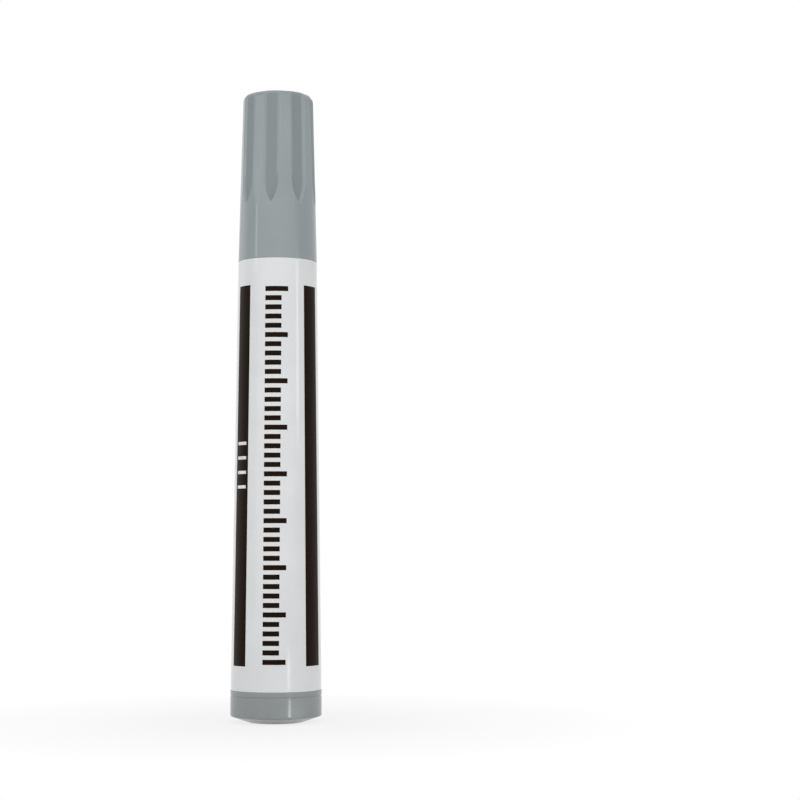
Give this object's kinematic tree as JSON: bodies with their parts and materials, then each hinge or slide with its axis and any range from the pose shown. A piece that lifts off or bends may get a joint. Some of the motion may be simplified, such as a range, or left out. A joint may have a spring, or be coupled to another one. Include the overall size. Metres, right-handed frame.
{
  "type": "furniture touch-up marker",
  "caption": "Valve-action touch-up marker with a fluted pull-off cap, a tapered barrel, a sprung nib and a press-in end plug that it stands on.",
  "frame": {"origin": "centre of the end plug's flat foot, which the marker stands on", "axes": "+Z along the marker's axis from the foot to the top of the cap; the printed side faces -Y; +X is to the right of someone who looks at the print"},
  "size_m": [0.0174, 0.0174, 0.12],
  "materials": {
    "cap_grey": "moulded grey polypropylene, satin gloss",
    "liner_natural": "natural polyethylene, satin",
    "barrel_white": "moulded white polypropylene, soft gloss, printed with plain black marks",
    "plug_grey": "moulded grey polypropylene, soft gloss",
    "section_white": "moulded white polypropylene, satin",
    "nib_felt": "bonded polyester fibre, stained with grey ink at its tip",
    "seat_rubber": "soft black rubber, matt",
    "valve_natural": "natural polypropylene, satin",
    "spring_steel": "drawn stainless wire",
    "ball_steel": "polished stainless steel"
  },
  "bodies": {
    "holder": {"barrel": "barrel_white", "end_plug": "plug_grey", "front_section": "section_white", "valve_seat": "seat_rubber", "valve_cage": "valve_natural", "valve_spring": "spring_steel"},
    "cap": {"cap_shell": "cap_grey", "cap_liner": "liner_natural"},
    "plunger": {"nib": "nib_felt", "valve_stem": "valve_natural"},
    "ball": {"mixing_ball": "ball_steel"}
  },
  "joints": [
    {"name": "cap_pull", "type": "slide", "parent": "holder", "child": "cap", "axis": [0, 0, 1], "range_m": [0, 0.04]},
    {"name": "nib_press", "type": "slide", "parent": "holder", "child": "plunger", "axis": [0, 0, -1], "range_m": [0, 0.002], "stiffness_N_per_m": 400, "springref_m": -0.004, "deforming": ["valve_spring"]},
    {"name": "ball_rattle", "type": "slide", "parent": "holder", "child": "ball", "axis": [0, 0, 1], "range_m": [0, 0.067]}
  ]
}
